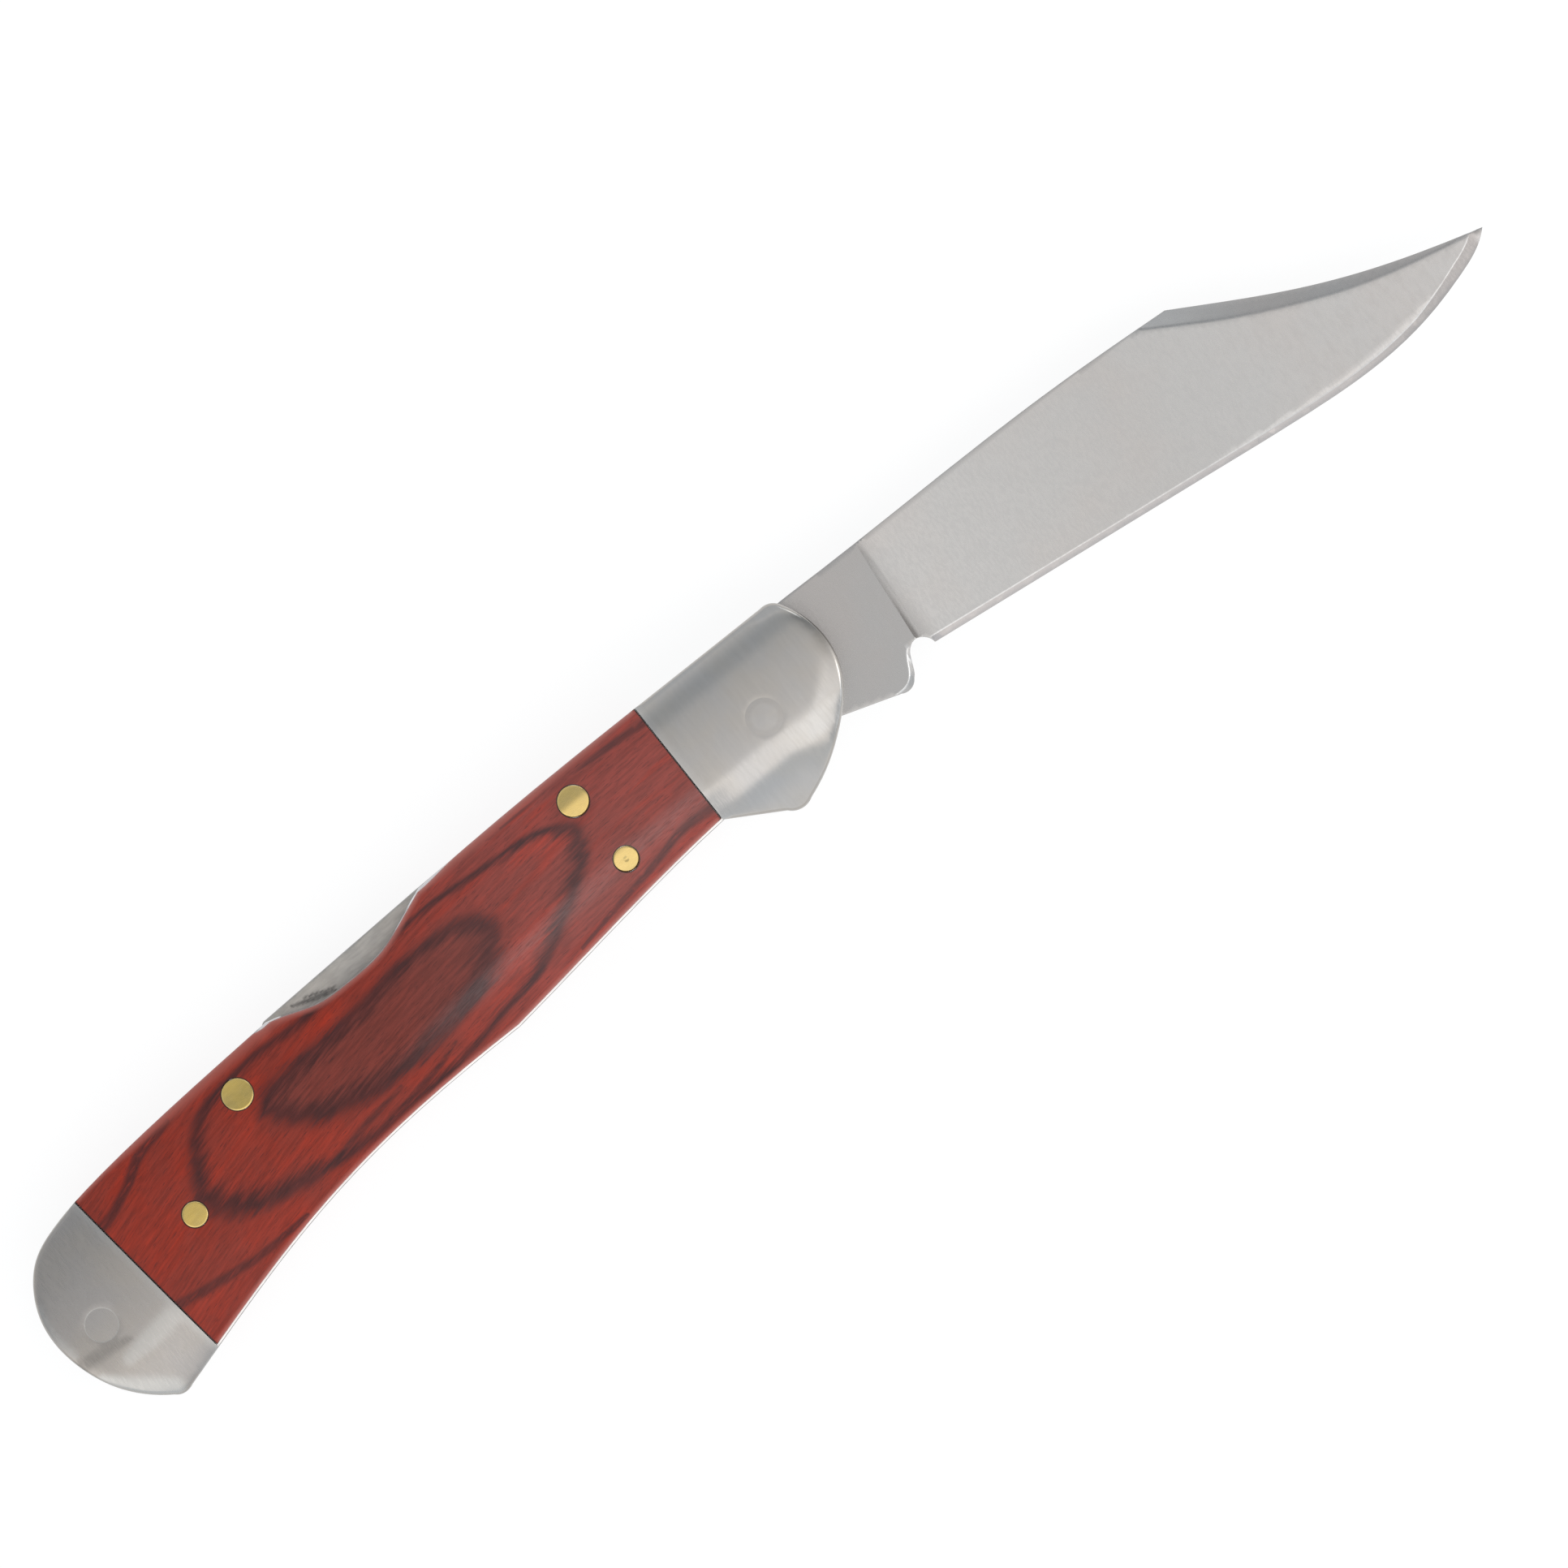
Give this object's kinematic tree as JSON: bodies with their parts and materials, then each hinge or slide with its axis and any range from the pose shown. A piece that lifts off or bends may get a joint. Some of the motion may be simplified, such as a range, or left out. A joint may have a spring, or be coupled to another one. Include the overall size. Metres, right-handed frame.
{
  "type": "folding pocket knife",
  "caption": "Lock-back folding pocket knife, open: clip-point steel blade, steel bolsters, red wood scales with brass pins, and a rocker lock pressed at a thumb scallop in the back.",
  "frame": {"origin": "on the blade's pivot axis, at the flat resting face of the mark side (the flush end of the pivot pin)", "axes": "+X along the open blade to its tip, +Y to the handle's back, +Z through the stack to the pile side, which faces up at rest"},
  "size_m": [0.1766, 0.0249, 0.0123],
  "materials": {
    "blade_steel": "satin ground, brushed along the grind",
    "bolster_steel": "polished, slightly hazy",
    "liner_steel": "bright edge",
    "lock_steel": "ground",
    "pin_steel": "spun flush",
    "brass": "dressed flush",
    "scale_wood": "resin-filled red laminate, semi-gloss"
  },
  "bodies": {
    "handle": {"front_bolster_mark": "bolster_steel", "front_bolster_pile": "bolster_steel", "rear_bolster_mark": "bolster_steel", "rear_bolster_pile": "bolster_steel", "scale_mark": "scale_wood", "scale_pile": "scale_wood", "liner_mark": "liner_steel", "liner_pile": "liner_steel", "pivot_pin": "pin_steel", "lock_bar_pin": "brass", "spacer_pin": "brass", "rear_bolster_pin": "pin_steel", "scale_rivet_front_mark": "brass", "scale_rivet_front_pile": "brass", "scale_rivet_rear_mark": "brass", "scale_rivet_rear_pile": "brass", "rear_spacer": "lock_steel", "lock_spring": "lock_steel"},
    "blade": {"blade": "blade_steel"},
    "lock_bar": {"lock_bar": "lock_steel"}
  },
  "joints": [
    {"name": "blade_fold", "type": "hinge", "parent": "handle", "child": "blade", "pos_m": [0, 0, 0.00615], "axis": [0, 0, -1], "range_deg": [0, 171]},
    {"name": "lock_release", "type": "hinge", "parent": "handle", "child": "lock_bar", "pos_m": [-0.01967, 0.00514, 0.00615], "axis": [0, 0, 1], "range_deg": [-1.4, 2.5], "stiffness_Nm_per_rad": 0.05, "springref_deg": -114.59, "deforming": ["lock_spring"]}
  ]
}
